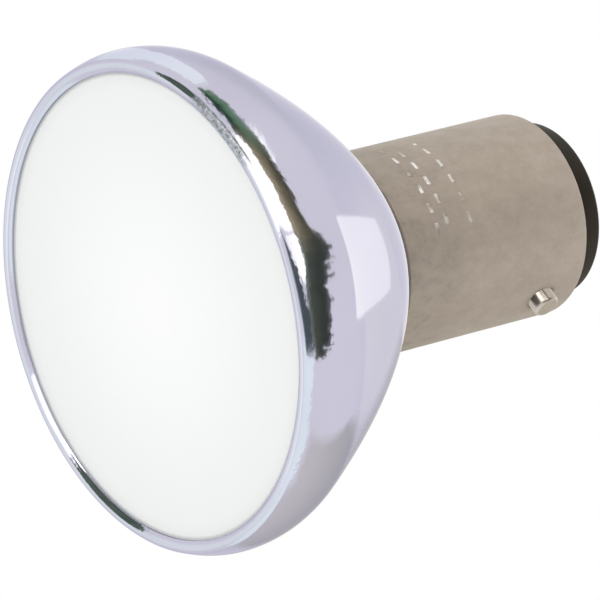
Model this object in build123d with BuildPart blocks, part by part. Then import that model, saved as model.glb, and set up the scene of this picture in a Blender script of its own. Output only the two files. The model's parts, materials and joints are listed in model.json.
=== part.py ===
from build123d import *
import math
import os

# Halogen reflector lamp, 37 mm across, with a two-contact bayonet cap.
# It stands on its rim: the front plane is z = 0, and +Z runs along the axis to the contacts.
# The two bayonet pins lie on the X axis and the two contacts on the Y axis.

# Reflector rim: each inset is measured inward from the widest radius
rim_radius = 18.5
ridge_inset = 0.33
ridge_height = 0.62
ridge_slope = 2.63
lip_reach = 1.45
lip_drop = 0.27
lip_round = 0.15
lip_crest_width = 0.25
lip_thickness = 0.45
pocket_inset = 0.7
hem_inset = 1.2

# Reflector bowl: a parabola outside, and the mirror's own parabola inside
bowl_focal_length = 5.3
bowl_start_height = 4.3
bowl_blend_width = 1.0
sheet_thickness = 0.5
focal_step = 0.24

# Reflector neck, which goes into the cap
neck_wall = 0.45
neck_length = 5.2
neck_blend_width = 0.25

# Front glass
lens_thickness = 1.55
lens_edge_clearance = 0.08
lens_edge_chamfer = 0.15

# Halogen capsule, placed from the focus of the mirror
capsule_radius = 4.3
capsule_wall = 1.0
dome_reach = 5.4
tip_radius = 0.8
tip_length = 1.0
pinch_start = 4.6
pinch_length = 6.5
pinch_width = 7.8
pinch_thickness = 3.2
pinch_corner = 0.6
pinch_bead_width = 1.0
pinch_panel_depth = 0.3
shoulder_length = 1.6
cavity_floor = 1.0

# Filament and the wires that hold it
coil_radius = 0.62
coil_wire_radius = 0.12
coil_wire_sides = 6
coil_pitch = 0.6
coil_turns = 5.5
lead_spacing = 3.6
inner_lead_radius = 0.22
lead_elbow_radius = 0.5
weld_depth = 0.03

# Foils that seal the leads into the pinch
foil_width = 2.0
foil_thickness = 0.06
foil_length = 4.0
foil_cover = 1.2
foil_overlap = 1.0

# Wires behind the pinch
outer_lead_radius = 0.35
outer_lead_reach = 2.0
wire_radius = 0.3
wire_straight = 1.0
wire_slope_clearance = 0.9
wire_bend_radius = 0.8

# Cements
throat_recess = 0.5
capsule_cement_inset = 0.5
cap_cement_recess = 0.6
cap_cement_length = 4.2
cap_cement_thickness = 0.37

# Bayonet cap shell
cap_radius = 7.62
shell_wall = 0.3
shell_length = 16.75
shell_gap = 0.3
shell_end_round = 0.25
turned_in_width = 0.4
insulator_clearance = 0.03

# Bayonet pins
pin_radius = 1.0
pin_reach = 0.93
pin_from_end = 3.35
pin_round = 0.3
pin_shank_radius = 0.75
pin_clearance = 0.02
pin_head_radius = 1.3
pin_head_thickness = 0.35
pin_flat_radius = 1.82
pin_flat_depth = 0.13

# Insulator and contacts
insulator_inside = 1.75
insulator_proud = 2.2
insulator_taper = 0.3
insulator_round = 0.45
contact_spacing = 6.4
contact_radius = 1.9
contact_thickness = 0.5
contact_sunk = 0.25
contact_chamfer = 0.1
wire_hole_clearance = 0.08
solder_radius = 1.3
solder_height = 0.95
wire_in_solder = 0.35

# Radii and heights that follow from the sizes above
shell_bore = cap_radius - shell_wall
neck_radius = shell_bore - cap_cement_thickness
neck_bore = neck_radius - neck_wall
ridge_radius = rim_radius - ridge_inset
lip_tip_radius = rim_radius - lip_reach
lip_shoulder_radius = ridge_radius - ridge_height / ridge_slope
lip_crest_radius = lip_shoulder_radius - lip_crest_width
pocket_radius = rim_radius - pocket_inset
hem_radius = rim_radius - hem_inset
lens_radius = pocket_radius - lens_edge_clearance
lens_back = lip_thickness + lens_thickness
blend_radius = rim_radius - bowl_blend_width
neck_blend_radius = neck_radius + neck_blend_width
mirror_focal_length = bowl_focal_length - focal_step
bowl_vertex = bowl_start_height + rim_radius**2 / (4 * bowl_focal_length)
mirror_vertex = bowl_vertex - sheet_thickness
focus_height = mirror_vertex - mirror_focal_length


def parabola_height(radius, vertex, focal_length):
    """Height of a parabola about the lamp's axis at a radius."""
    return vertex - radius**2 / (4 * focal_length)


def parabola_points(radius_a, radius_b, vertex, focal_length):
    """The three control points that give the exact parabola between two radii."""
    crossing = vertex - radius_a * radius_b / (4 * focal_length)
    return [
        (radius_a, parabola_height(radius_a, vertex, focal_length)),
        ((radius_a + radius_b) / 2, crossing),
        (radius_b, parabola_height(radius_b, vertex, focal_length)),
    ]


def blend_rise(radius, width, focal_length):
    """Height of the arc that turns a parabola upright across a width beside a radius."""
    slope = radius / (2 * focal_length)
    return width / (math.hypot(1, slope) - slope)


bowl_curve = parabola_points(blend_radius, neck_blend_radius, bowl_vertex, bowl_focal_length)
mirror_curve = parabola_points(neck_bore, hem_radius, mirror_vertex, mirror_focal_length)
widest_height = bowl_curve[0][1] - blend_rise(blend_radius, bowl_blend_width, bowl_focal_length)
neck_start = bowl_curve[2][1] + blend_rise(neck_blend_radius, neck_blend_width, bowl_focal_length)
throat_height = mirror_curve[0][1]
shell_front = parabola_height(cap_radius, bowl_vertex, bowl_focal_length) + shell_gap
shell_end = shell_front + shell_length
turned_in_radius = shell_bore - turned_in_width
insulator_seat = shell_end - shell_wall
insulator_underside = insulator_seat - insulator_inside
insulator_end = shell_end + insulator_proud
insulator_radius = turned_in_radius - insulator_clearance
neck_end = neck_start + neck_length
pin_height = shell_end - pin_from_end
pin_shoulder = cap_radius - pin_flat_depth
pin_seat = math.sqrt(shell_bore**2 - pin_head_radius**2)
pin_tip = cap_radius + pin_reach
pinch_base = focus_height + pinch_start
pinch_end = pinch_base + pinch_length
shoulder_base = pinch_base - shoulder_length
cavity_radius = capsule_radius - capsule_wall
cavity_end = pinch_base - cavity_floor
cavity_floor_centre = cavity_end - cavity_radius
dome_centre = focus_height - dome_reach + capsule_radius
lead_offset = lead_spacing / 2
coil_half_height = coil_turns * coil_pitch / 2
foil_base = pinch_base + foil_cover
foil_end = foil_base + foil_length
foil_face = weld_depth - inner_lead_radius
outer_lead_x = foil_face + outer_lead_radius - weld_depth
lead_join = pinch_end + outer_lead_reach
solder_ball_radius = (solder_radius**2 + solder_height**2) / (2 * solder_height)
contact_offset = contact_spacing / 2
contact_base = insulator_end - contact_sunk
contact_face = contact_base + contact_thickness
wire_hole_radius = wire_radius + wire_hole_clearance

os.makedirs("parts", exist_ok=True)


def save(piece, name):
    """Label a finished piece and write it under its node's name."""
    piece.part.label = name
    export_step(piece.part, f"parts/{name}.step")


# Reflector: one spun sheet, whose section runs from the tip of the rolled lip round the outside
# to the neck, and back along the mirror to the hem and the pocket that holds the glass
with BuildPart() as reflector:
    with BuildSketch(Plane.XZ):
        with BuildLine():
            Line((lip_tip_radius, lip_thickness), (lip_tip_radius, lip_drop))
            TangentArc((lip_crest_radius, 0), (lip_tip_radius, lip_drop), tangent=(-1, 0))
            FilletPolyline(
                (lip_crest_radius, 0),
                (lip_shoulder_radius, 0),
                (ridge_radius, ridge_height),
                radius=lip_round,
            )
            TangentArc((rim_radius, widest_height), (ridge_radius, ridge_height), tangent=(0, -1))
            TangentArc((rim_radius, widest_height), bowl_curve[0], tangent=(0, 1))
            Bezier(*bowl_curve)
            TangentArc((neck_radius, neck_start), bowl_curve[2], tangent=(0, -1))
            Polyline(
                (neck_radius, neck_start),
                (neck_radius, neck_end),
                (neck_bore, neck_end),
                mirror_curve[0],
            )
            Bezier(*mirror_curve)
            Polyline(
                mirror_curve[2],
                (hem_radius, lens_back),
                (pocket_radius, lens_back),
                (pocket_radius, lip_thickness),
                (lip_tip_radius, lip_thickness),
            )
        make_face()
    revolve(axis=Axis.Z)
save(reflector, "reflector")

# Front glass: a flat disc with a ground edge, seated on the hem and held by the lip
with BuildPart() as front_lens:
    with BuildSketch(Plane.XY.offset(lip_thickness)):
        Circle(lens_radius)
    extrude(amount=lens_thickness)
    chamfer(front_lens.edges(), lens_edge_chamfer)
save(front_lens, "front_lens")

# Filament: a bare coil whose two ends face the two lead wires, its fine wire drawn with flats
coil_front = focus_height - coil_half_height
coil_back = focus_height + coil_half_height
with BuildPart() as filament:
    with BuildLine(Plane((0, 0, coil_front), x_dir=(0, 1, 0), z_dir=(0, 0, 1))) as coil_path:
        Helix(coil_pitch, 2 * coil_half_height, coil_radius)
    with BuildSketch(Plane(coil_path.line @ 0, z_dir=coil_path.line % 0)):
        RegularPolygon(coil_wire_radius, coil_wire_sides)
    sweep()
save(filament, "filament")


def bent_wire(points, bend_radius, radius):
    """A round wire along straight runs joined by tangent bends."""
    with BuildPart() as wire:
        with BuildLine() as route:
            FilletPolyline(*points, radius=bend_radius)
        with BuildSketch(Plane(route.line @ 0, z_dir=route.line % 0)):
            Circle(radius)
        sweep()
    return wire.part


# The wires of each side: the near lead reaches the back end of the coil, and the far lead
# passes beside the coil to its front end. Behind the pinch each goes on to its own contact.
sides = {"near": (-1, coil_back), "far": (1, coil_front)}
sealed_in = []
for side, (sign, coil_end_height) in sides.items():
    lead_y = sign * lead_offset
    contact_y = sign * contact_offset

    with BuildPart() as foil:
        with BuildSketch(Plane.XY.offset(foil_base)):
            with Locations((foil_face - foil_thickness / 2, lead_y)):
                Rectangle(foil_thickness, foil_width)
        extrude(amount=foil_length)
    save(foil, f"seal_foil_{side}")

    elbow_points = [
        (0, lead_y, foil_base + foil_overlap),
        (0, lead_y, coil_end_height),
        (0, sign * coil_radius, coil_end_height),
    ]
    with BuildPart() as inner_lead:
        add(bent_wire(elbow_points, lead_elbow_radius, inner_lead_radius))
        add(foil.part, mode=Mode.SUBTRACT)
        add(filament.part, mode=Mode.SUBTRACT)
    save(inner_lead, f"filament_lead_{side}")

    with BuildPart() as outer_lead:
        with BuildSketch(Plane.XY.offset(foil_end - foil_overlap)):
            with Locations((outer_lead_x, lead_y)):
                Circle(outer_lead_radius)
        extrude(amount=lead_join - foil_end + foil_overlap)
        add(foil.part, mode=Mode.SUBTRACT)
    save(outer_lead, f"outer_lead_{side}")

    wire_points = [
        (outer_lead_x, lead_y, lead_join),
        (outer_lead_x, lead_y, lead_join + wire_straight),
        (0, contact_y, insulator_underside - wire_slope_clearance),
        (0, contact_y, contact_face + wire_in_solder),
    ]
    with BuildPart() as connecting_wire:
        add(bent_wire(wire_points, wire_bend_radius, wire_radius))
    save(connecting_wire, f"connecting_wire_{side}")

    with BuildPart() as contact_plate:
        with BuildSketch(Plane.XY.offset(contact_base)):
            with Locations((0, contact_y)):
                Circle(contact_radius)
                Circle(wire_hole_radius, mode=Mode.SUBTRACT)
        extrude(amount=contact_thickness)
        chamfer(contact_plate.faces().sort_by(Axis.Z)[-1].outer_wire().edges(), contact_chamfer)
    save(contact_plate, f"contact_plate_{side}")

    with BuildPart() as solder_dome:
        with BuildSketch(Plane((0, contact_y, contact_face), x_dir=(1, 0, 0), z_dir=(0, -1, 0))):
            with BuildLine():
                Polyline((0, solder_height), (0, 0), (solder_radius, 0))
                RadiusArc((solder_radius, 0), (0, solder_height), -solder_ball_radius)
            make_face()
        revolve(axis=Axis((0, contact_y, 0), (0, 0, 1)))
        add(connecting_wire.part, mode=Mode.SUBTRACT)
    save(solder_dome, f"solder_dome_{side}")
    sealed_in += [foil.part, inner_lead.part, outer_lead.part]

# Outer form of the capsule: a blown tube with a domed front and its sealed-off tip, flattened
# at the back into the pinch
tip_end = dome_centre - capsule_radius - tip_length
with BuildPart() as capsule_form:
    with BuildSketch(Plane.XZ):
        with BuildLine():
            CenterArc((0, dome_centre), capsule_radius, start_angle=-90, arc_size=90)
            Polyline(
                (capsule_radius, dome_centre),
                (capsule_radius, shoulder_base),
                (0, shoulder_base),
                (0, dome_centre - capsule_radius),
            )
        make_face()
        with BuildLine():
            CenterArc((0, tip_end + tip_radius), tip_radius, start_angle=-90, arc_size=90)
            Polyline(
                (tip_radius, tip_end + tip_radius),
                (tip_radius, dome_centre),
                (0, dome_centre),
                (0, tip_end),
            )
        make_face()
    revolve(axis=Axis.Z)
    with BuildSketch(Plane.XY.offset(shoulder_base)):
        Circle(capsule_radius)
    with BuildSketch(Plane.XY.offset(pinch_base)) as pinch_section:
        RectangleRounded(pinch_thickness, pinch_width, pinch_corner)
    loft()
    add(pinch_section.sketch)
    extrude(amount=pinch_length)
    for direction in (1, -1):
        face_middle = (direction * pinch_thickness / 2, 0, pinch_base + pinch_length / 2)
        with BuildSketch(Plane(face_middle, x_dir=(0, 1, 0), z_dir=(direction, 0, 0))):
            RectangleRounded(
                pinch_width - 2 * pinch_bead_width,
                pinch_length - 2 * pinch_bead_width,
                pinch_corner,
            )
        extrude(amount=-pinch_panel_depth, mode=Mode.SUBTRACT)

# Capsule: the quartz round the gas space, with the foils and wires gripped in its pinch
with BuildPart() as capsule_envelope:
    add(capsule_form.part)
    with BuildSketch(Plane.XZ):
        with BuildLine():
            CenterArc((0, dome_centre), cavity_radius, start_angle=-90, arc_size=90)
            Line((cavity_radius, dome_centre), (cavity_radius, cavity_floor_centre))
            CenterArc((0, cavity_floor_centre), cavity_radius, start_angle=0, arc_size=90)
            Line((0, cavity_end), (0, dome_centre - cavity_radius))
        make_face()
    revolve(axis=Axis.Z, mode=Mode.SUBTRACT)
    for piece in sealed_in:
        add(piece, mode=Mode.SUBTRACT)
save(capsule_envelope, "capsule_envelope")

# Cement that fills the throat of the reflector round the capsule's pinch
with BuildPart() as capsule_cement:
    with BuildSketch(Plane.XY.offset(throat_height + throat_recess)):
        Circle(neck_bore)
    extrude(amount=neck_end - capsule_cement_inset - throat_height - throat_recess)
    add(capsule_form.part, mode=Mode.SUBTRACT)
save(capsule_cement, "capsule_cement")

# Basing cement between the reflector's neck and the cap shell
with BuildPart() as cap_cement:
    with BuildSketch(Plane.XY.offset(shell_front + cap_cement_recess)):
        Circle(shell_bore)
        Circle(neck_radius, mode=Mode.SUBTRACT)
    extrude(amount=cap_cement_length)
save(cap_cement, "cap_cement")

# Cap shell: a drawn tube turned in at its end, with a flat pressed round each pin's hole
with BuildPart() as cap_shell:
    with BuildSketch(Plane.XY.offset(shell_front)):
        Circle(cap_radius)
    extrude(amount=shell_length)
    with BuildSketch(Plane.XY.offset(shell_front)):
        Circle(shell_bore)
    extrude(amount=shell_length - shell_wall, mode=Mode.SUBTRACT)
    with BuildSketch(Plane.XY.offset(insulator_seat)):
        Circle(turned_in_radius)
    extrude(amount=shell_wall, mode=Mode.SUBTRACT)
    fillet(cap_shell.faces().sort_by(Axis.Z)[-1].outer_wire().edges(), shell_end_round)
    for direction in (1, -1):
        flat = Plane((direction * (cap_radius - pin_flat_depth), 0, pin_height), z_dir=(direction, 0, 0))
        with BuildSketch(flat):
            Circle(pin_flat_radius)
        extrude(amount=pin_reach, mode=Mode.SUBTRACT)
        with BuildSketch(Plane((0, 0, pin_height), z_dir=(direction, 0, 0))):
            Circle(pin_shank_radius + pin_clearance)
        extrude(amount=pin_tip, mode=Mode.SUBTRACT)
save(cap_shell, "cap_shell")

# Bayonet pins: each is a rivet, with its shoulder on the shell's flat and its head inside
for name, direction in (("bayonet_pin_a", 1), ("bayonet_pin_b", -1)):
    with BuildPart() as bayonet_pin:
        with BuildSketch(Plane((direction * pin_shoulder, 0, pin_height), z_dir=(direction, 0, 0))):
            Circle(pin_radius)
        extrude(amount=pin_tip - pin_shoulder)
        fillet(bayonet_pin.faces().sort_by(Axis((0, 0, 0), (direction, 0, 0)))[-1].edges(), pin_round)
        with BuildSketch(Plane((direction * pin_seat, 0, pin_height), z_dir=(direction, 0, 0))):
            Circle(pin_shank_radius)
        extrude(amount=pin_shoulder - pin_seat)
        with BuildSketch(Plane((direction * pin_seat, 0, pin_height), z_dir=(direction, 0, 0))):
            Circle(pin_head_radius)
        extrude(amount=-pin_head_thickness)
    save(bayonet_pin, name)

# Insulator: moulded black glass held by the turned-in end of the shell, with a pocket and a
# wire hole for each contact
with BuildPart() as insulator:
    with BuildSketch(Plane.XY.offset(insulator_underside)):
        Circle(shell_bore - insulator_clearance)
    extrude(amount=insulator_inside)
    with BuildSketch(Plane.XZ):
        with BuildLine():
            Polyline(
                (0, insulator_seat),
                (insulator_radius, insulator_seat),
                (insulator_radius, shell_end),
                (insulator_radius - insulator_taper, insulator_end),
                (0, insulator_end),
                close=True,
            )
        make_face()
    revolve(axis=Axis.Z)
    fillet(insulator.faces().sort_by(Axis.Z)[-1].outer_wire().edges(), insulator_round)
    with BuildSketch(Plane.XY.offset(insulator_end)):
        with Locations((0, contact_offset), (0, -contact_offset)):
            Circle(contact_radius)
    extrude(amount=-contact_sunk, mode=Mode.SUBTRACT)
    with BuildSketch(Plane.XY.offset(insulator_end)):
        with Locations((0, contact_offset), (0, -contact_offset)):
            Circle(wire_hole_radius)
    extrude(amount=insulator_underside - insulator_end, mode=Mode.SUBTRACT)
save(insulator, "insulator")
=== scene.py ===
import json
import math
import random

import bmesh
import bpy
from mathutils import Matrix, Vector

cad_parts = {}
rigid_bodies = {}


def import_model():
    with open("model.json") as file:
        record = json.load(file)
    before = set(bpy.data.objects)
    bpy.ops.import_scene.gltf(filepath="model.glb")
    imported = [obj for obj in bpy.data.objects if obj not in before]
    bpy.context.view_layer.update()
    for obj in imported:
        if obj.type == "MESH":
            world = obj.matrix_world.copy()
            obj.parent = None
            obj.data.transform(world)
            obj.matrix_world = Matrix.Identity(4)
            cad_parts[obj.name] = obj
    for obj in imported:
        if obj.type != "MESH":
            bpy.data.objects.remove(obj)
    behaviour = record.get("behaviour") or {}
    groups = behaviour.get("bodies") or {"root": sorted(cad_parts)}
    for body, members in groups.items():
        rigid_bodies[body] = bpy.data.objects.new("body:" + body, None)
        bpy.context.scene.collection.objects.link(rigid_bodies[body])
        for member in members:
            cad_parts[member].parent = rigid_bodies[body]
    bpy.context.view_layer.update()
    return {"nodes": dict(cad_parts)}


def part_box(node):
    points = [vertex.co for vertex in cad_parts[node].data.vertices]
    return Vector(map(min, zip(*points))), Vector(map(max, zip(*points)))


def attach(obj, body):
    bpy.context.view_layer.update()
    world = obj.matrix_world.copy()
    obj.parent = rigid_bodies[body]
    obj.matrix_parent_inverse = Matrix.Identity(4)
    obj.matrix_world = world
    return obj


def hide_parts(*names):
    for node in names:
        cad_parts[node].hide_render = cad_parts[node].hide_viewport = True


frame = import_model()
nodes = frame["nodes"]
MM = 0.001


# Sizes of the visible pieces, in millimetres: the first ones are read from the frame

def span(node):
    """The low and the high corner of a node's box, in millimetres."""
    low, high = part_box(node)
    return [c / MM for c in low], [c / MM for c in high]


rim_radius = span("reflector")[1][0]
neck_end = span("reflector")[1][2]
lip_thickness = span("front_lens")[0][2]
lens_back = span("front_lens")[1][2]
lens_radius = span("front_lens")[1][0]
cap_radius = span("cap_shell")[1][0]
shell_front = span("cap_shell")[0][2]
shell_end = span("cap_shell")[1][2]
insulator_end = span("insulator")[1][2]
pin_tip = span("bayonet_pin_a")[1][0]
pin_height = (span("bayonet_pin_a")[0][2] + span("bayonet_pin_a")[1][2]) / 2
contact_base = span("contact_plate_far")[0][2]
contact_face = span("contact_plate_far")[1][2]
contact_offset = (span("contact_plate_far")[0][1] + span("contact_plate_far")[1][1]) / 2
contact_radius = span("contact_plate_far")[1][0]
solder_radius = span("solder_dome_far")[1][0]
solder_height = span("solder_dome_far")[1][2] - contact_face

# Reflector: the lip is rounder than the solid's, and has no flat crest
ridge_inset = 0.33
ridge_height = 0.62
ridge_slope = 2.63
lip_reach = 1.45
lip_drop = 0.27
lip_round = 0.45
pocket_inset = 0.7
hem_inset = 1.2
bowl_focal_length = 5.3
bowl_start_height = 4.3
bowl_blend_width = 1.0
sheet_thickness = 0.5
focal_step = 0.24
neck_wall = 0.45
neck_blend_width = 0.25
lens_edge_chamfer = 0.15

# Cap: the shell's front edge is drawn a step nearer the bowl than the solid's, with a round of its own
shell_wall = 0.3
front_step = 0.05
front_round = 0.12
shell_end_round = 0.25
turned_in_width = 0.4
cap_cement_thickness = 0.37
pin_radius = 1.0
pin_round = 0.3
pin_shank_radius = 0.75
pin_shank_length = 0.6
pin_sunk = 0.02
pin_flat_radius = 1.82
pin_flat_depth = 0.13
pin_flat_fade = 0.12
insulator_clearance = 0.03
insulator_inside = 1.75
insulator_taper = 0.3
insulator_round = 0.45
insulator_round_inset = 0.42
contact_round = 0.1
solder_sunk = 0.05

ridge_radius = rim_radius - ridge_inset
lip_tip_radius = rim_radius - lip_reach
pocket_radius = rim_radius - pocket_inset
hem_radius = rim_radius - hem_inset
bowl_vertex = bowl_start_height + rim_radius ** 2 / (4 * bowl_focal_length)
mirror_focal_length = bowl_focal_length - focal_step
mirror_vertex = bowl_vertex - sheet_thickness
shell_bore = cap_radius - shell_wall
neck_radius = shell_bore - cap_cement_thickness
neck_bore = neck_radius - neck_wall
flat_level = cap_radius - pin_flat_depth


# Turned pieces

sharp_angle = math.radians(32)


def arc(centre, radius, start, end, steps):
    """Points of a section's arc, between two angles in degrees."""
    points = []
    for i in range(steps + 1):
        a = math.radians(start + (end - start) * i / steps)
        points.append((centre[0] + radius * math.cos(a), centre[1] + radius * math.sin(a)))
    return points


def run(a, b, steps):
    """Points of a section's straight line."""
    return [(a[0] + (b[0] - a[0]) * i / steps, a[1] + (b[1] - a[1]) * i / steps) for i in range(steps + 1)]


def tidy(points):
    """Leaves out a point that repeats the one before it."""
    kept = [points[0]]
    for p in points[1:]:
        if math.dist(p, kept[-1]) > 1e-5:
            kept.append(p)
    return kept


def lathe(name, outline, segments, closed=False, matrix=None, shape=None):
    """Spins a section of (radius, height) points in millimetres about Z, and links the piece."""
    outline = tidy(outline)
    verts, rings = [], []
    for r, z in outline:
        count = 1 if r < 1e-6 else segments
        rings.append((len(verts), count))
        for i in range(count):
            a = 2 * math.pi * i / segments
            verts.append((r * math.cos(a), r * math.sin(a), z))
    faces = []
    pairs = list(zip(range(len(rings) - 1), range(1, len(rings))))
    if closed:
        pairs.append((len(rings) - 1, 0))
    for p, q in pairs:
        (a, na), (b, nb) = rings[p], rings[q]
        for i in range(segments):
            j = (i + 1) % segments
            if na > 1 and nb > 1:
                faces.append((a + i, a + j, b + j, b + i))
            elif na > 1:
                faces.append((a + i, a + j, b))
            elif nb > 1:
                faces.append((a, b + j, b + i))
    if shape:
        verts = [shape(*v) for v in verts]
    mesh = bpy.data.meshes.new(name)
    mesh.from_pydata([(x * MM, y * MM, z * MM) for x, y, z in verts], [], faces)
    if matrix:
        mesh.transform(matrix)
    bm = bmesh.new()
    bm.from_mesh(mesh)
    bmesh.ops.recalc_face_normals(bm, faces=bm.faces)
    bm.to_mesh(mesh)
    bm.free()
    mesh.shade_smooth()
    mesh.set_sharp_from_angle(angle=sharp_angle)
    obj = bpy.data.objects.new(name, mesh)
    bpy.context.scene.collection.objects.link(obj)
    return obj


def stand_for(obj, node, material):
    """The piece takes the place of a CAD node, rides on the bulb and wears a material."""
    obj.data.materials.append(material)
    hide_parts(node)
    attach(obj, "root")


# Materials

# Noise seldom leaves this range
noise_range = (0.3, 0.7)


class Net:
    """The shader nodes of one material, with short ways to add and join them."""

    def __init__(self, tree):
        self.tree = tree
        self.link = tree.links.new

    def add(self, kind, **values):
        """A new node; each value goes to its option of that name, or else to its input."""
        node = self.tree.nodes.new("ShaderNode" + kind)
        for key, value in values.items():
            if hasattr(node, key):
                setattr(node, key, value)
            else:
                node.inputs[key.replace("_", " ")].default_value = value
        return node

    def place(self, kind="Object"):
        """Where a point lies, in the object's own space or on its map."""
        return self.add("TexCoord").outputs[kind]

    def split(self, source):
        """The X, Y and Z of a place."""
        node = self.add("SeparateXYZ")
        self.link(source, node.inputs["Vector"])
        return node.outputs["X"], node.outputs["Y"], node.outputs["Z"]

    def length(self, source):
        """How far a place lies from the origin."""
        node = self.add("VectorMath", operation="LENGTH")
        self.link(source, node.inputs[0])
        return node.outputs["Value"]

    def maths(self, operation, first, second=0.0):
        node = self.add("Math", operation=operation)
        for socket, value in zip(node.inputs, (first, second)):
            if isinstance(value, (int, float)):
                socket.default_value = value
            else:
                self.link(value, socket)
        return node.outputs[0]

    def times(self, first, second):
        return self.maths("MULTIPLY", first, second)

    def plus(self, first, second):
        return self.maths("ADD", first, second)

    def minus(self, first, second):
        return self.maths("SUBTRACT", first, second)

    def size(self, value):
        """A value without its sign."""
        return self.maths("ABSOLUTE", value)

    def noise(self, source, scale, detail=3.0, stretch=(1, 1, 1), roughness=0.55):
        """Noise over a place, stretched along its axes."""
        mapping = self.add("Mapping", Scale=stretch)
        self.link(source, mapping.inputs["Vector"])
        texture = self.add("TexNoise", Scale=scale, Detail=detail, Roughness=roughness)
        self.link(mapping.outputs["Vector"], texture.inputs["Vector"])
        return texture.outputs["Fac"]

    def ramp(self, source, stops):
        """The colour at a value, between (value, colour) stops."""
        node = self.add("ValToRGB")
        elements = node.color_ramp.elements
        while len(elements) < len(stops):
            elements.new(0.5)
        for element, (position, colour) in zip(elements, stops):
            element.position = position
            element.color = (*colour, 1)
        self.link(source, node.inputs["Fac"])
        return node.outputs["Color"]

    def remap(self, source, low, high, to_low, to_high, smooth=False):
        """A value moved from one range to another, and kept within it."""
        node = self.add("MapRange", From_Min=low, From_Max=high, To_Min=to_low, To_Max=to_high)
        node.interpolation_type = "SMOOTHSTEP" if smooth else "LINEAR"
        self.link(source, node.inputs["Value"])
        return node.outputs["Result"]

    def bump(self, height, shader, distance):
        """Raises a shader's surface by a height, at most by a distance in metres."""
        node = self.add("Bump", Strength=1.0, Distance=distance)
        self.link(height, node.inputs["Height"])
        self.link(node.outputs["Normal"], shader.inputs["Normal"])

    def colour(self, red, green, blue):
        output = self.add("RGB").outputs[0]
        output.default_value = (red, green, blue, 1)
        return output

    def blend(self, share, first, second):
        """Two colours blended; the share is the second one's."""
        node = self.add("Mix", data_type="RGBA")
        self.link(share, node.inputs[0])
        self.link(first, node.inputs[6])
        self.link(second, node.inputs[7])
        return node.outputs[2]

    def cover(self, under, over, output):
        """Joins two shaders to the output, and gives the socket for the second one's share."""
        both = self.add("MixShader")
        self.link(under.outputs[0], both.inputs[1])
        self.link(over.outputs[0], both.inputs[2])
        self.link(both.outputs[0], self.add(output).inputs["Surface"])
        return both.inputs["Fac"]


def new_finish(name, **settings):
    """A new material, its Principled shader with those inputs set, and its net."""
    made = bpy.data.materials.new(name)
    made.use_nodes = True
    shader = made.node_tree.nodes["Principled BSDF"]
    for key, value in settings.items():
        shader.inputs[key.replace("_", " ")].default_value = value
    return made, shader, Net(made.node_tree)


def mottled(name, colours, scale, rough, metallic=0.0, depth=0.01 * MM, **settings):
    """A plain finish with variation of its own in colour, roughness and surface."""
    made, shader, net = new_finish(name, Metallic=metallic, **settings)
    here = net.place()
    clouds = net.noise(here, scale, 4.0)
    net.link(net.ramp(clouds, list(zip(noise_range, colours))), shader.inputs["Base Color"])
    net.link(net.remap(clouds, *noise_range, *rough), shader.inputs["Roughness"])
    net.bump(net.noise(here, scale * 4, 2.0), shader, depth)
    return made


def reflector_finish():
    """Polished aluminium, wavy near the rim, dented on one stretch of the lip, where a mottled dark green
    reflection is painted into its colour.
    """
    wear_and_reflection_angle = -1.66
    wear_and_reflection_reach = (0.12, 0.25)
    wear_and_reflection_height = (0.12 * MM, 0.3 * MM)
    wavy_height = (0.8 * MM, 4.5 * MM)
    made, shader, net = new_finish("spun_aluminium", Metallic=1.0, Specular_Tint=(0.74, 0.73, 0.82, 1))
    here = net.place()
    x, y, height = net.split(here)
    plain = net.ramp(net.noise(here, 90), [(0.3, (0.555, 0.54, 0.645)), (0.7, (0.595, 0.58, 0.69))])
    away = net.size(net.minus(net.maths("ARCTAN2", y, x), wear_and_reflection_angle))
    stretch = net.remap(away, *wear_and_reflection_reach, 1.0, 0.0, smooth=True)
    wear_and_painted_reflection = net.times(stretch, net.remap(height, *wear_and_reflection_height, 1.0, 0.0))
    pits_and_reflection_mottle = net.noise(here, 2600, 4.0, roughness=0.7)
    # painted reflection: a mottled dark green, standing for the dark studio seen in the lip here, is mixed
    # into the colour
    painted_reflection = net.times(wear_and_painted_reflection, net.remap(pits_and_reflection_mottle, 0.36, 0.56, 0.9, 0.15))
    dark = net.colour(0.13, 0.165, 0.13)
    net.link(net.blend(painted_reflection, plain, dark), shader.inputs["Base Color"])
    fine = net.noise(here, 700, 4.0)
    net.link(net.remap(fine, *noise_range, 0.055, 0.09), shader.inputs["Roughness"])
    wavy = net.remap(height, *wavy_height, 1.0, 0.0, smooth=True)
    lumps = net.times(net.noise(here, 520, 3.0, (1, 1, 1.6)), wavy)
    dents = net.times(net.times(pits_and_reflection_mottle, wear_and_painted_reflection), 5.0)
    net.bump(net.plus(lumps, dents), shader, 0.022 * MM)
    return made


def lens_finish():
    """Frosted glass, with a painted glow brightest in the middle and a painted shadow ring at its edge,
    where the lip shades it.
    """
    made, shader, net = new_finish("frosted_glass", Roughness=0.42, IOR=1.47)
    here = net.place()
    flat = net.add("Mapping", Scale=(1, 1, 0))
    net.link(here, flat.inputs["Vector"])
    radial = net.remap(net.length(flat.outputs["Vector"]), 0.0, lens_radius * MM, 0.0, 1.0)
    grain = net.noise(here, 2600, 2.0)
    # painted light and shade: the colour runs from a painted glow in the middle to a painted shadow ring
    # under the lip
    tones = [
        (0.0, (0.985, 0.985, 0.985)),
        (0.4, (0.95, 0.955, 0.96)),
        (0.75, (0.90, 0.91, 0.912)),
        (0.9, (0.885, 0.895, 0.89)),
        (0.948, (0.85, 0.86, 0.85)),
        (0.958, (0.62, 0.63, 0.62)),
        (1.0, (0.55, 0.56, 0.55)),
    ]
    net.link(net.ramp(net.plus(net.times(grain, 0.006), radial), tones), shader.inputs["Base Color"])
    net.bump(grain, shader, 0.012 * MM)
    return made


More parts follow.
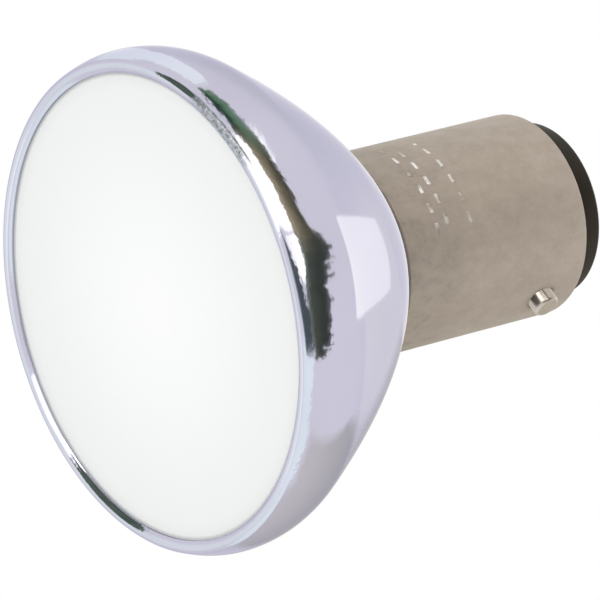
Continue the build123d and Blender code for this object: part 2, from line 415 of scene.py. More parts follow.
def stamped_dashes(net, angle, height):
    """Three rows of plain short dashes stamped on the shell, with their sizes in millimetres."""
    heights_and_phases = ((21.1, 0.1), (22.1, 0.45), (24.2, 0.25))
    half_row = (4.3, 4.4)
    half_line = (0.11, 0.19)
    dashes_per_mm = 0.62
    half_dash = (0.22, 0.28)
    around = net.times(net.plus(angle, math.pi / 2), cap_radius)
    inside = net.remap(net.size(around), *half_row, 1.0, 0.0)
    level = net.times(height, 1 / MM)
    total = None
    for row, phase in heights_and_phases:
        line = net.remap(net.size(net.minus(level, row)), *half_line, 1.0, 0.0)
        step = net.plus(net.times(around, dashes_per_mm), phase)
        part = net.minus(net.maths("FRACT", step), 0.5)
        dash = net.remap(net.size(part), *half_dash, 1.0, 0.0)
        mark = net.times(net.times(line, dash), inside)
        total = mark if total is None else net.plus(total, mark)
    return total


def nickel_finish():
    """Satin nickel with clouds, stamped dashes with painted glints, and a patchy painted shade round each
    pin where it meets the shell.
    """
    pin_shade_reach = ((pin_radius + 0.02) * MM, (pin_radius + 0.3) * MM)
    made, shader, net = new_finish("satin_nickel", Metallic=0.3, Specular_Tint=(0.86, 0.82, 0.78, 1))
    here = net.place()
    x, y, height = net.split(here)
    # painted shade: a little darker towards the bowl, which shades it, and a little lighter towards the end
    painted_bowl_shade = net.remap(height, 20.5 * MM, 25.5 * MM, -0.2, 0.0, smooth=True)
    lighter_towards_end = net.remap(height, 28 * MM, 35 * MM, 0.0, 0.12, smooth=True)
    clouds = net.plus(net.noise(here, 800, 6.0, (1, 1, 0.8), 0.75), net.plus(painted_bowl_shade, lighter_towards_end))
    tones = [
        (0.15, (0.31, 0.26, 0.215)),
        (0.3, (0.37, 0.31, 0.255)),
        (0.5, (0.41, 0.345, 0.285)),
        (0.7, (0.455, 0.38, 0.325)),
    ]
    marks = stamped_dashes(net, net.maths("ARCTAN2", y, x), height)
    # painted glints: some dashes are painted near white, where their stamped facets would catch the light
    glint = net.times(marks, net.remap(net.noise(here, 700, 2.0), 0.42, 0.62, 0.0, 0.85))
    stamped = net.blend(glint, net.ramp(clouds, tones), net.colour(0.95, 0.93, 0.88))
    # painted shade: a patchy olive ring is painted round the root of each pin, where the pin shades the
    # shell
    from_pin = net.add("CombineXYZ")
    net.link(y, from_pin.inputs["X"])
    net.link(net.minus(height, pin_height * MM), from_pin.inputs["Y"])
    pin_shade = net.remap(net.length(from_pin.outputs[0]), *pin_shade_reach, 0.85, 0.0)
    patchy_pin_shade = net.times(pin_shade, net.remap(net.noise(here, 900, 2.0), 0.38, 0.55, 0.1, 1.0))
    olive = net.colour(0.09, 0.075, 0.03)
    net.link(net.blend(patchy_pin_shade, stamped, olive), shader.inputs["Base Color"])
    fine = net.noise(here, 1500, 3.0, (1, 1, 0.5))
    dull = net.remap(fine, *noise_range, 0.42, 0.52)
    net.link(net.minus(dull, net.times(marks, 0.2)), shader.inputs["Roughness"])
    net.bump(net.plus(marks, net.times(fine, 0.14)), shader, 0.07 * MM)
    return made


spun_aluminium = reflector_finish()
frosted_glass = lens_finish()
satin_nickel = nickel_finish()
black_glass = mottled(
    "black_glass",
    ((0.010, 0.007, 0.003), (0.024, 0.017, 0.009)),
    300,
    (0.4, 0.5),
    Specular_IOR_Level=0.16,
    Specular_Tint=(1, 0.82, 0.66, 1),
)
pin_metal = mottled(
    "pin_metal", ((0.46, 0.40, 0.34), (0.55, 0.48, 0.42)), 900, (0.20, 0.30), 0.8, depth=0.003 * MM
)
contact_metal = mottled("contact_metal", ((0.55, 0.42, 0.22), (0.72, 0.58, 0.34)), 500, (0.25, 0.4), 1.0)
solder_metal = mottled("solder_metal", ((0.42, 0.42, 0.41), (0.62, 0.62, 0.61)), 700, (0.22, 0.45), 1.0)


# Reflector: lip, skirt, bowl, neck, mirror, hem and pocket, as the spun sheet has them

def bowl_height(radius):
    return bowl_vertex - radius ** 2 / (4 * bowl_focal_length)


def mirror_height(radius):
    return mirror_vertex - radius ** 2 / (4 * mirror_focal_length)


def parabola(height_at, start, end, steps):
    """Points of a section along a parabola, between two radii."""
    radii = [start + (end - start) * i / steps for i in range(steps + 1)]
    return [(r, height_at(r)) for r in radii]


def upright_arc(radius, width):
    """Radius and rise of the arc that turns the bowl upright across a width."""
    slope = radius / (2 * bowl_focal_length)
    along = math.hypot(1, slope)
    return width * along / (along - slope), width / (along - slope)


ridge_turn = math.degrees(math.atan(ridge_slope))
crest = ridge_radius - ridge_height / ridge_slope - lip_round * math.tan(math.radians(ridge_turn / 2))
lip_bend = ((crest - lip_tip_radius) ** 2 + lip_drop ** 2) / (2 * lip_drop)
lip_turn = math.degrees(math.asin((crest - lip_tip_radius) / lip_bend))
rim_blend = rim_radius - bowl_blend_width
bend_radius, rise = upright_arc(rim_blend, bowl_blend_width)
widest = bowl_height(rim_blend) - rise
skirt_width = rim_radius - ridge_radius
skirt_radius = (skirt_width ** 2 + (widest - ridge_height) ** 2) / (2 * skirt_width)
skirt_turn = math.degrees(math.asin((widest - ridge_height) / skirt_radius))
bend_turn = math.degrees(math.asin(rise / bend_radius))
neck_blend = neck_radius + neck_blend_width
neck_bend, neck_rise = upright_arc(neck_blend, neck_blend_width)
neck_start = bowl_height(neck_blend) + neck_rise
neck_turn = math.degrees(math.asin(neck_rise / neck_bend))

outline = [(lip_tip_radius, lip_thickness)]
outline += arc((crest, lip_bend), lip_bend, -90 - lip_turn, -90, 12)
outline += arc((crest, lip_round), lip_round, -90, ridge_turn - 90, 14)
outline += arc((rim_radius - skirt_radius, widest), skirt_radius, -skirt_turn, 0, 14)
outline += arc((rim_radius - bend_radius, widest), bend_radius, 0, bend_turn, 26)
outline += parabola(bowl_height, rim_blend, neck_blend, 56)
outline += arc((neck_radius + neck_bend, neck_start), neck_bend, 180 + neck_turn, 180, 8)
outline += [(neck_radius, neck_end), (neck_bore, neck_end)]
outline += parabola(mirror_height, neck_bore, hem_radius, 40)
outline += [(hem_radius, lens_back), (pocket_radius, lens_back), (pocket_radius, lip_thickness)]
reflector = lathe("reflector_shell", outline, 360, closed=True)
stand_for(reflector, "reflector", spun_aluminium)

flat_edge = lens_radius - lens_edge_chamfer
outline = [(r, lip_thickness) for r in (0, 6, 12, flat_edge)]
outline += [(lens_radius, lip_thickness + lens_edge_chamfer), (lens_radius, lens_back - lens_edge_chamfer)]
outline += [(flat_edge, lens_back), (0, lens_back)]
lens = lathe("frosted_lens", outline, 256)
stand_for(lens, "front_lens", frosted_glass)


# Cap shell, with a flat pressed round each pin

def press_flats(x, y, z):
    """Moves a point of the shell's outside onto the pressed flat where it lies within it."""
    if abs(x) > flat_level:
        within = pin_flat_radius + pin_flat_fade - math.hypot(y, z - pin_height)
        share = min(1.0, max(0.0, within / (2 * pin_flat_fade)))
        x = math.copysign(abs(x) + (flat_level - abs(x)) * share, x)
    return x, y, z


mouth_radius = shell_bore - turned_in_width
seat = shell_end - shell_wall
edge_front = shell_front - front_step
# the rows of faces are close together where the flats are pressed
close_rows_reach = 2.1
below_pins = pin_height - close_rows_reach
above_pins = pin_height + close_rows_reach
outline = [(shell_bore, edge_front)]
outline += arc((cap_radius - front_round, edge_front + front_round), front_round, -90, 0, 5)
outline += run((cap_radius, edge_front + front_round), (cap_radius, below_pins), 12)
outline += run((cap_radius, below_pins), (cap_radius, above_pins), 42)
outline += arc((cap_radius - shell_end_round, shell_end - shell_end_round), shell_end_round, 0, 90, 7)
outline += [(mouth_radius, shell_end), (mouth_radius, seat), (shell_bore, seat)]
shell = lathe("nickel_shell", outline, 480, closed=True, shape=press_flats)
stand_for(shell, "cap_shell", satin_nickel)

for node, turn_by in (("bayonet_pin_a", 90), ("bayonet_pin_b", -90)):
    shoulder = flat_level - pin_sunk
    root = flat_level - pin_shank_length
    outline = [(0, root), (pin_shank_radius, root), (pin_shank_radius, shoulder), (pin_radius, shoulder)]
    outline += arc((pin_radius - pin_round, pin_tip - pin_round), pin_round, 0, 90, 8)
    outline.append((0, pin_tip))
    matrix = Matrix.Translation((0, 0, pin_height * MM)) @ Matrix.Rotation(math.radians(turn_by), 4, "Y")
    pin = lathe(node + "_rivet", outline, 96, matrix=matrix)
    stand_for(pin, node, pin_metal)


# Insulator, contacts and solder

plug_radius = shell_bore - insulator_clearance
plug_edge = mouth_radius - insulator_clearance
taper_angle = 8
round_centre = (plug_edge - insulator_taper - insulator_round_inset, insulator_end - insulator_round)
outline = [(0, seat - insulator_inside), (plug_radius, seat - insulator_inside)]
outline += [(plug_radius, seat), (plug_edge, seat), (plug_edge, shell_end)]
outline += arc(round_centre, insulator_round, taper_angle, 90, 9)
outline.append((0, insulator_end))
insulator = lathe("insulator_disc", outline, 240)
stand_for(insulator, "insulator", black_glass)

for side, sign in (("near", -1), ("far", 1)):
    matrix = Matrix.Translation((0, sign * contact_offset * MM, 0))
    outline = [(0, contact_base), (contact_radius, contact_base)]
    outline += arc((contact_radius - contact_round, contact_face - contact_round), contact_round, 0, 90, 4)
    outline.append((0, contact_face))
    plate = lathe("contact_disc_" + side, outline, 96, matrix=matrix)
    stand_for(plate, "contact_plate_" + side, contact_metal)
    ball = (solder_radius ** 2 + solder_height ** 2) / (2 * solder_height)
    reach = math.degrees(math.asin(solder_radius / ball))
    outline = [(0, contact_face - solder_sunk)]
    outline += arc((0, contact_face + solder_height - ball), ball, 90 - reach, 90, 14)[:-1]
    outline.append((0, contact_face + solder_height))
    dome = lathe("solder_cap_" + side, outline, 72, matrix=matrix)
    stand_for(dome, "solder_dome_" + side, solder_metal)


# Sealed inner pieces keep the solids' own meshes

inner_finishes = {
    "capsule_envelope": mottled(
        "quartz", ((0.80, 0.84, 0.86), (0.88, 0.91, 0.92)), 200, (0.04, 0.09), IOR=1.46, Alpha=0.35
    ),
    "filament": mottled("tungsten", ((0.16, 0.16, 0.17), (0.26, 0.26, 0.27)), 2500, (0.4, 0.6), 1.0),
    "molybdenum": mottled("molybdenum", ((0.34, 0.34, 0.35), (0.46, 0.46, 0.47)), 1800, (0.25, 0.4), 1.0),
    "copper": mottled("tinned_copper", ((0.50, 0.46, 0.40), (0.66, 0.62, 0.56)), 1500, (0.25, 0.4), 1.0),
    "capsule_cement": mottled(
        "capsule_cement", ((0.76, 0.74, 0.68), (0.86, 0.84, 0.79)), 900, (0.8, 0.95), depth=0.06 * MM
    ),
    "cap_cement": mottled(
        "basing_cement", ((0.46, 0.35, 0.24), (0.60, 0.48, 0.34)), 900, (0.8, 0.95), depth=0.06 * MM
    ),
}
for node, obj in nodes.items():
    if obj.hide_render:
        continue
    key = node
    if node.startswith(("filament_lead", "seal_foil", "outer_lead")):
        key = "molybdenum"
    if node.startswith("connecting_wire"):
        key = "copper"
    obj.data.materials.clear()
    obj.data.materials.append(inner_finishes[key])


# What each kind of ray meets: the bowl shows the studio behind it, not the cap

def hide_from(obj, *kinds):
    """Keeps a piece away from the named kinds of rays."""
    for kind in kinds:
        setattr(obj, "visible_" + kind, False)


for obj in list(nodes.values()) + list(bpy.context.scene.objects):
    if obj.type == "MESH" and obj.name not in ("reflector_shell", "frosted_lens"):
        hide_from(obj, "glossy")


# Camera at the photograph's place: directions are given as (right, up, towards the camera)

axis = Vector((0.786, 0.202, -0.584)).normalized()
facing = Vector((0.5657, 0.1454, 0.8117))
facing = (facing - axis * facing.dot(axis)).normalized()
beside = axis.cross(facing)
pins_turned = math.radians(57.5)
pins = facing * math.cos(pins_turned) + beside * math.sin(pins_turned)
contacts = axis.cross(pins)
seen = Matrix((pins, contacts, axis)).transposed()
origin_seen = Vector((-10.817, -0.616, -427.51)) * MM

camera_data = bpy.data.cameras.new("camera")
camera_data.lens = 360
camera_data.sensor_width = 36
camera_data.clip_start = 0.01
camera_data.clip_end = 20
camera = bpy.data.objects.new("camera", camera_data)
camera.matrix_world = seen.transposed().to_4x4()
camera.location = seen.transposed() @ -origin_seen
bpy.context.scene.collection.objects.link(camera)
bpy.context.scene.camera = camera

# The studio is arranged round the bulb's middle
middle = Vector((0, 0, 16 * MM))


def toward(right, up, near, distance):
    """A place round the bulb, in a direction as the camera sees it."""
    return middle + seen.transposed() @ (Vector((right, up, near)).normalized() * distance)


# Studio: soft lamps, cards that only the polished metal shows, and a pale floor

lamp_distance = 0.6
lamp_size = 0.35


def lamp(name, direction, power):
    """A round soft lamp, which neither the camera nor a reflection shows."""
    data = bpy.data.lights.new(name, "AREA")
    data.shape = "DISK"
    data.size = lamp_size
    data.energy = power
    obj = bpy.data.objects.new(name, data)
    obj.location = toward(*direction, lamp_distance)
    obj.rotation_mode = "QUATERNION"
    obj.rotation_quaternion = (obj.location - middle).to_track_quat("Z", "Y")
    hide_from(obj, "camera", "glossy")
    bpy.context.scene.collection.objects.link(obj)


lamp("lamp_front", (-0.5, 0.45, 0.75), 0.57)
lamp("lamp_back", (0.7, 0.5, -0.5), 0.08)
lamp("lamp_low", (0.75, -0.35, 0.55), 0.16)


def bare(name):
    """A stage material without nodes yet, and its net."""
    made = bpy.data.materials.new(name)
    made.use_nodes = True
    made.node_tree.nodes.clear()
    return made, Net(made.node_tree)


def glow(name):
    """A stage material that shines, its net, and the sockets for its colour and for its cover."""
    made, net = bare(name)
    light = net.add("Emission", Strength=1.0)
    share = net.cover(net.add("BsdfTransparent"), light, "OutputMaterial")
    return made, net, light.inputs["Color"], share


def hang(name, rows, distance, material):
    """A curved card from rows of directions, seen only in reflections; its map runs along and across."""
    verts, faces, places = [], [], []
    wide = len(rows[0])
    for i, row in enumerate(rows):
        for j, direction in enumerate(row):
            verts.append(toward(*direction, distance))
            places.append((i / (len(rows) - 1), j / (wide - 1)))
            if i and j:
                a = (i - 1) * wide + j - 1
                faces.append((a, a + 1, a + wide + 1, a + wide))
    mesh = bpy.data.meshes.new(name)
    mesh.from_pydata(verts, [], faces)
    layer = mesh.uv_layers.new(name="place")
    for loop in mesh.loops:
        layer.data[loop.index].uv = places[loop.vertex_index]
    mesh.materials.append(material)
    obj = bpy.data.objects.new(name, mesh)
    bpy.context.scene.collection.objects.link(obj)
    hide_from(obj, "camera", "diffuse", "transmission", "shadow")


def spread_out(points, count):
    """Directions at even steps along a line of directions."""
    line = [Vector(p).normalized() for p in points]
    steps = [0.0]
    for a, b in zip(line, line[1:]):
        steps.append(steps[-1] + a.angle(b))
    found, k = [], 0
    for i in range(count):
        at = steps[-1] * i / (count - 1)
        while k < len(line) - 2 and at > steps[k + 1]:
            k += 1
        share = (at - steps[k]) / (steps[k + 1] - steps[k])
        found.append(line[k].slerp(line[k + 1], min(1.0, max(0.0, share))))
    return found


def band(name, inner, outer, distance, material, count, teeth=None, wide=7):
    """A card between two lines of directions; teeth are how far its outer edge reaches out, in degrees."""
    rows = []
    for i, (a, b) in enumerate(zip(spread_out(inner, count), spread_out(outer, count))):
        reach = b
        if teeth:
            reach = a.slerp(b, 1 + math.radians(teeth[i]) / max(0.05, a.angle(b)))
        rows.append([a.slerp(reach, j / (wide - 1)) for j in range(wide)])
    hang(name, rows, distance, material)


def patch(name, centre, reach, colour, distance, soft):
    """A round card that reaches some degrees from its centre, with a soft edge."""
    rings, spokes = 24, 48
    centre = Vector(centre).normalized()
    side = centre.cross(Vector((0, 1, 0.01))).normalized()
    other = centre.cross(side)
    rows = []
    for i in range(rings + 1):
        out = math.tan(math.radians(reach) * i / rings)
        turns = [2 * math.pi * j / spokes for j in range(spokes + 1)]
        row = [centre + (side * math.cos(a) + other * math.sin(a)) * out for a in turns]
        rows.append([direction.normalized() for direction in row])
    made, net, tint, share = glow(name)
    tint.default_value = (*colour, 1)
    outward = net.split(net.place("UV"))[0]
    net.link(net.remap(outward, 1 - soft, 1.0, 1.0, 0.0, smooth=True), share)
    hang(name, rows, distance, made)


def hedge_paint():
    """A dark band of foliage and ground colours: green at its start, tan in its middle, dark at its end."""
    made, net, tint, share = glow("card_dark")
    here = net.place("UV")
    along, across = net.split(here)[:2]
    rough = net.noise(here, 9, 5.0, (6, 2, 1), 0.65)
    shifted = net.plus(net.times(net.minus(rough, 0.5), 0.35), across)
    green = [
        (0.0, (0.05, 0.10, 0.07)),
        (0.2, (0.03, 0.065, 0.04)),
        (0.5, (0.14, 0.30, 0.16)),
        (1.0, (0.30, 0.38, 0.29)),
    ]
    tan = [
        (0.0, (0.62, 0.54, 0.34)),
        (0.22, (0.42, 0.37, 0.225)),
        (0.5, (0.21, 0.19, 0.115)),
        (0.8, (0.085, 0.085, 0.048)),
        (1.0, (0.12, 0.115, 0.07)),
    ]
    dark = [
        (0.0, (0.22, 0.28, 0.22)),
        (0.2, (0.10, 0.115, 0.085)),
        (0.6, (0.06, 0.07, 0.055)),
        (1.0, (0.05, 0.07, 0.055)),
    ]
    to_tan = net.remap(along, 0.16, 0.34, 0.0, 1.0, smooth=True)
    to_dark = net.remap(along, 0.53, 0.68, 0.0, 1.0, smooth=True)
    start = net.blend(to_tan, net.ramp(shifted, green), net.ramp(shifted, tan))
    net.link(net.blend(to_dark, start, net.ramp(shifted, dark)), tint)
    specks = net.noise(here, 30, 3.0, (5, 2, 1))
    edge = net.plus(specks, net.remap(across, 0.55, 1.0, 0.0, 0.22))
    net.link(net.remap(edge, 0.74, 0.80, 1.0, 0.15), share)
    return made


def moss_paint():
    """A mottled green card with light between its leaves."""
    made, net, tint, share = glow("card_moss")
    here = net.place("UV")
    along, across = net.split(here)[:2]
    greens = [
        (0.35, (0.05, 0.08, 0.055)),
        (0.5, (0.10, 0.145, 0.10)),
        (0.6, (0.20, 0.25, 0.20)),
        (0.75, (0.45, 0.50, 0.45)),
    ]
    net.link(net.ramp(net.noise(here, 8, 5.0, (3, 1.5, 1), 0.75), greens), tint)
    rise = net.remap(along, 0.0, 0.05, 0.0, 1.0)
    fall = net.remap(along, 0.93, 1.0, 1.0, 0.0)
    side = net.remap(across, 0.0, 0.06, 0.0, 1.0, smooth=True)
    net.link(net.times(net.times(rise, fall), side), share)
    return made


def plain_paint(name, stops, soft_ends, soft_sides=0.0):
    """A shining card whose colour runs across it, faded at both ends and, if asked, at both sides."""
    made, net, tint, share = glow(name)
    along, across = net.split(net.place("UV"))[:2]
    net.link(net.ramp(across, stops), tint)
    parts = []
    for way, soft in ((along, soft_ends), (across, soft_sides)):
        if soft:
            parts.append(net.remap(way, 0.0, soft, 0.0, 1.0, smooth=True))
            parts.append(net.remap(way, 1 - soft, 1.0, 1.0, 0.0, smooth=True))
    whole = parts[0]
    for part in parts[1:]:
        whole = net.times(whole, part)
    net.link(whole, share)
    return made


# Cards hang about two metres from the bulb, and a nearer one hides what is behind it

band_inner = [
    (-0.16, 0.98, -0.08),
    (-0.11, 0.985, 0.09),
    (-0.03, 0.965, 0.25),
    (0.04, 0.91, 0.40),
    (0.12, 0.87, 0.47),
    (0.19, 0.81, 0.55),
    (0.27, 0.75, 0.60),
    (0.34, 0.67, 0.66),
    (0.38, 0.60, 0.70),
    (0.44, 0.53, 0.72),
    (0.50, 0.45, 0.74),
    (0.56, 0.35, 0.75),
    (0.61, 0.26, 0.74),
    (0.59, 0.09, 0.80),
    (0.555, -0.01, 0.83),
    (0.555, -0.10, 0.82),
    (0.555, -0.21, 0.80),
    (0.56, -0.36, 0.74),
    (0.60, -0.47, 0.65),
]
band_outer = [
    (-0.14, 0.985, -0.11),
    (0.00, 0.99, -0.13),
    (0.11, 0.99, -0.08),
    (0.16, 0.98, 0.02),
    (0.24, 0.965, 0.09),
    (0.31, 0.94, 0.15),
    (0.40, 0.892, 0.20),
    (0.485, 0.825, 0.285),
    (0.57, 0.75, 0.34),
    (0.64, 0.68, 0.36),
    (0.70, 0.57, 0.42),
    (0.79, 0.46, 0.38),
    (0.86, 0.43, 0.26),
    (0.90, 0.40, 0.13),
    (0.935, 0.34, 0.06),
    (0.955, 0.28, 0.07),
    (0.95, 0.22, 0.22),
    (0.95, 0.16, 0.27),
    (0.955, 0.07, 0.29),
    (0.955, -0.04, 0.29),
    (0.93, -0.17, 0.32),
    (0.89, -0.28, 0.36),
    (0.80, -0.40, 0.46),
]
# The dark band's outer edge: waves, small uneven steps, and tufts as (place, degrees, how many places)
chance = random.Random(7)
teeth = [1.1 * math.sin(i * 0.37) * math.sin(i * 0.113) + chance.uniform(-1.3, 1.3) for i in range(420)]
for i, degrees, how_many in (
    (150, 3, 3),
    (176, 3, 4),
    (205, 4, 3),
    (252, 5, 4),
    (270, 6, 5),
    (282, 9, 3),
    (291, -6, 5),
    (299, 10, 3),
    (306, 5, 5),
    (318, 12, 3),
    (324, -5, 6),
    (340, 5, 4),
    (362, 4, 5),
    (380, 7, 3),
    (391, 9, 3),
    (397, -8, 4),
    (403, 8, 4),
):
    for k in range(how_many):
        teeth[i + k] += degrees
band("card_dark", band_inner, band_outer, 1.95, hedge_paint(), 420, teeth, 9)
band(
    "card_strip",
    [
        (0.00, 0.93, 0.37),
        (0.02, 0.88, 0.48),
        (0.06, 0.80, 0.60),
        (0.08, 0.68, 0.73),
        (0.16, 0.52, 0.84),
        (0.40, 0.365, 0.84),
    ],
    [
        (0.05, 0.93, 0.37),
        (0.14, 0.87, 0.47),
        (0.27, 0.75, 0.60),
        (0.34, 0.67, 0.66),
        (0.44, 0.53, 0.72),
        (0.53, 0.41, 0.74),
    ],
    1.9,
    plain_paint("card_strip", [(0.0, (1.7, 1.7, 1.6)), (1.0, (2.1, 2.1, 1.9))], 0.02),
    60,
)
band(
    "card_strip_low",
    [(0.38, 0.355, 0.85), (0.41, 0.26, 0.87), (0.46, 0.14, 0.87), (0.50, 0.05, 0.86)],
    [(0.52, 0.40, 0.75), (0.60, 0.32, 0.74), (0.63, 0.20, 0.75), (0.57, 0.03, 0.82)],
    1.9,
    plain_paint("card_strip_low", [(0.0, (1.7, 1.7, 1.6)), (1.0, (2.1, 2.1, 1.9))], 0.03),
    40,
)
band(
    "card_moss",
    [
        (-0.985, -0.05, -0.15),
        (-0.99, -0.05, -0.10),
        (-0.995, -0.07, -0.03),
        (-0.998, -0.04, 0.05),
        (-0.985, -0.02, 0.14),
        (-0.965, 0.03, 0.24),
    ],
    [
        (-0.985, 0.14, -0.10),
        (-0.93, 0.36, -0.06),
        (-0.38, 0.92, -0.06),
        (-0.14, 0.96, 0.25),
        (-0.22, 0.80, 0.55),
        (-0.45, 0.58, 0.66),
    ],
    1.85,
    moss_paint(),
    80,
)
band(
    "card_lip_white",
    [(-0.97, -0.07, 0.22), (-0.95, -0.09, 0.29), (-0.89, -0.14, 0.42), (-0.45, 0.08, 0.89)],
    [(0.04, 0.80, 0.60), (0.12, 0.65, 0.75), (0.20, 0.48, 0.86), (0.30, 0.38, 0.87)],
    1.88,
    plain_paint("card_lip_white", [(0.0, (1.7, 1.75, 1.7)), (1.0, (2.0, 2.0, 1.85))], 0.08),
    30,
)
band(
    "card_slate",
    [
        (-0.10, 0.30, 0.95),
        (-0.30, 0.05, 0.95),
        (-0.34, -0.08, 0.94),
        (-0.25, -0.22, 0.94),
        (-0.10, -0.33, 0.94),
        (0.10, -0.46, 0.88),
        (0.42, -0.50, 0.76),
    ],
    [
        (0.30, 0.34, 0.89),
        (0.39, 0.25, 0.885),
        (0.465, 0.12, 0.877),
        (0.525, -0.03, 0.85),
        (0.56, -0.18, 0.81),
        (0.565, -0.34, 0.75),
        (0.57, -0.48, 0.67),
    ],
    1.87,
    plain_paint(
        "card_slate",
        [
            (0.0, (0.75, 0.82, 0.84)),
            (0.3, (0.26, 0.31, 0.33)),
            (0.7, (0.11, 0.14, 0.15)),
            (1.0, (0.10, 0.12, 0.12)),
        ],
        0.14,
    ),
    60,
)
band(
    "card_pale",
    [
        (-0.50, -0.40, 0.77),
        (-0.62, -0.50, 0.60),
        (-0.60, -0.62, 0.50),
        (-0.59, -0.74, 0.34),
        (-0.62, -0.78, 0.10),
        (-0.69, -0.73, -0.04),
        (-0.73, -0.60, -0.32),
    ],
    [
        (0.36, -0.33, 0.87),
        (0.55, -0.48, 0.69),
        (0.53, -0.61, 0.59),
        (0.45, -0.86, 0.26),
        (0.28, -0.95, -0.06),
        (0.09, -0.96, -0.27),
        (-0.04, -0.72, -0.70),
    ],
    1.96,
    plain_paint("card_pale", [(0.0, (1.12, 1.25, 1.18)), (1.0, (1.16, 1.30, 1.24))], 0.08),
    60,
)
band(
    "card_top_light",
    [
        (-0.36, 0.45, -0.82),
        (-0.36, 0.62, -0.70),
        (-0.30, 0.78, -0.55),
        (-0.27, 0.86, -0.43),
        (-0.24, 0.92, -0.32),
        (-0.20, 0.96, -0.20),
        (-0.14, 0.985, -0.09),
    ],
    [
        (-0.06, 0.15, -0.985),
        (-0.08, 0.38, -0.92),
        (-0.10, 0.55, -0.83),
        (-0.05, 0.70, -0.71),
        (-0.02, 0.80, -0.60),
        (0.05, 0.90, -0.43),
        (0.02, 0.97, -0.24),
    ],
    2.0,
    plain_paint("card_top_light", [(0.0, (1.22, 1.32, 1.24)), (1.0, (1.30, 1.38, 1.30))], 0.1, 0.1),
    40,
)
band(
    "card_patch",
    [(0.80, 0.38, -0.47), (0.86, 0.20, -0.47), (0.91, -0.03, -0.40)],
    [(0.50, 0.21, -0.84), (0.52, 0.12, -0.845), (0.54, 0.04, -0.84)],
    1.95,
    plain_paint("card_patch", [(0.0, (1.5, 1.52, 1.38)), (1.0, (1.5, 1.52, 1.38))], 0.02),
    20,
)
band(
    "card_edge",
    [(0.20, 0.95, 0.20), (0.30, 0.92, 0.24), (0.40, 0.87, 0.28), (0.50, 0.77, 0.38)],
    [(0.25, 0.96, 0.10), (0.345, 0.93, 0.12), (0.435, 0.885, 0.16), (0.53, 0.82, 0.22)],
    2.0,
    plain_paint("card_edge", [(0.0, (1.8, 1.85, 1.7)), (1.0, (1.6, 1.65, 1.5))], 0.05),
    120,
    [chance.choice((-9, -5, -2, 0, 0, 4, 9)) for i in range(120)],
)
band(
    "card_left_dark",
    [(-0.50, 0.44, 0.75), (-0.62, 0.58, 0.53), (-0.72, 0.66, 0.12), (-0.71, 0.68, -0.14)],
    [(-0.62, 0.35, 0.71), (-0.76, 0.50, 0.42), (-0.80, 0.59, 0.10), (-0.79, 0.60, -0.14)],
    1.95,
    plain_paint(
        "card_left_dark",
        [(0.0, (0.30, 0.33, 0.33)), (0.3, (0.07, 0.10, 0.08)), (1.0, (0.08, 0.11, 0.09))],
        0.12,
    ),
    40,
)
patch("card_left", (-0.92, -0.15, -0.05), 38, (1.10, 1.19, 1.12), 2.2, 0.45)
patch("card_left_top", (-0.85, -0.50, 0.15), 22, (1.3, 1.36, 1.27), 2.1, 0.6)
patch("card_left_low", (-0.90, 0.25, 0.33), 16, (1.7, 1.75, 1.6), 2.1, 0.6)
patch("card_glint", (-0.45, 0.64, 0.62), 11, (6, 6, 5.8), 1.8, 0.3)
band(
    "card_low",
    [
        (0.52, -0.79, 0.34),
        (0.38, -0.91, 0.16),
        (0.22, -0.96, -0.10),
        (0.04, -0.92, -0.36),
        (-0.08, -0.72, -0.69),
    ],
    [
        (0.74, -0.36, -0.56),
        (0.58, -0.22, -0.785),
        (0.40, -0.14, -0.905),
        (0.22, -0.14, -0.96),
        (0.06, -0.28, -0.95),
    ],
    2.25,
    plain_paint(
        "card_low",
        [(0.0, (0.84, 0.83, 0.78)), (0.4, (0.78, 0.77, 0.70)), (1.0, (0.66, 0.66, 0.60))],
        0.12,
        0.12,
    ),
    30,
)
patch("card_behind", (0.12, -0.14, -0.98), 17, (0.70, 0.70, 0.66), 2.3, 0.8)
patch("card_right", (0.52, 0.0, -0.85), 21, (1.16, 1.15, 1.08), 2.35, 0.6)
patch("card_under", (0.05, -0.85, -0.52), 30, (0.78, 0.82, 0.77), 2.3, 0.8)
patch("card_top", (0.25, 0.60, -0.76), 22, (0.92, 0.94, 0.92), 2.3, 0.8)

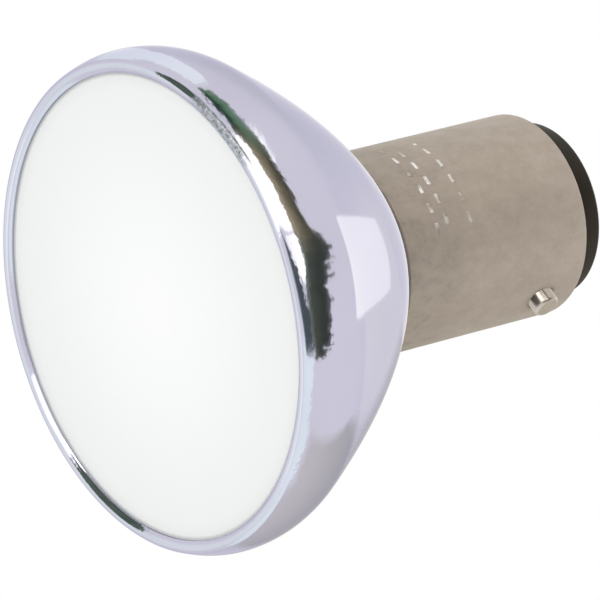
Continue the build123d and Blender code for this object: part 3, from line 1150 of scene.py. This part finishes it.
# A sleeve of card round the bulb's neck, which only the bowl's reflections meet: from within it is clear
sleeve_paint, net, tint, share = glow("card_sleeve")
tint.default_value = (1.09, 1.09, 1.06, 1)
net.link(net.minus(1.0, net.add("NewGeometry").outputs["Backfacing"]), share)
sleeve_radius = cap_radius + 0.12
sleeve_reach = 4.1
sleeve_ends = (bowl_height(sleeve_radius) + 0.01, shell_front + sleeve_reach)
sleeve = lathe("card_sleeve", [(sleeve_radius, z) for z in sleeve_ends], 96)
sleeve.data.materials.append(sleeve_paint)
hide_from(sleeve, "camera", "diffuse", "transmission", "shadow")

# The floor fades out away from the bulb, and is clear from below
floor_radius = 0.3
floor_fade = (0.06, 0.25)
floor_mesh = bpy.data.meshes.new("floor")
bm = bmesh.new()
bmesh.ops.create_circle(bm, cap_ends=True, radius=floor_radius, segments=128)
bm.to_mesh(floor_mesh)
bm.free()
floor = bpy.data.objects.new("floor", floor_mesh)
bpy.context.scene.collection.objects.link(floor)
hide_from(floor, "diffuse", "glossy", "transmission", "shadow")
floor_paint, net = bare("floor_paint")
pale = net.add("BsdfDiffuse", Color=(0.95, 0.95, 0.95, 1))
faded = net.remap(net.length(net.place()), *floor_fade, 0.0, 1.0, smooth=True)
below = net.add("NewGeometry").outputs["Backfacing"]
net.link(net.maths("MAXIMUM", faded, below), net.cover(pale, net.add("BsdfTransparent"), "OutputMaterial"))
floor_mesh.materials.append(floor_paint)

# The world is white where it is seen or reflected, and softer as a light
world = bpy.data.worlds.new("studio")
bpy.context.scene.world = world
world.use_nodes = True
world.node_tree.nodes.clear()
net = Net(world.node_tree)
soft = net.add("Background", Color=(1, 1, 1, 1), Strength=0.85)
white = net.add("Background", Color=(1, 1, 1, 1), Strength=1.0)
ray = net.add("LightPath").outputs
direct = net.maths("MAXIMUM", ray["Is Camera Ray"], ray["Is Glossy Ray"])
direct = net.maths("MAXIMUM", direct, ray["Is Transmission Ray"])
net.link(direct, net.cover(soft, white, "OutputWorld"))

bpy.context.scene.view_settings.view_transform = "Standard"
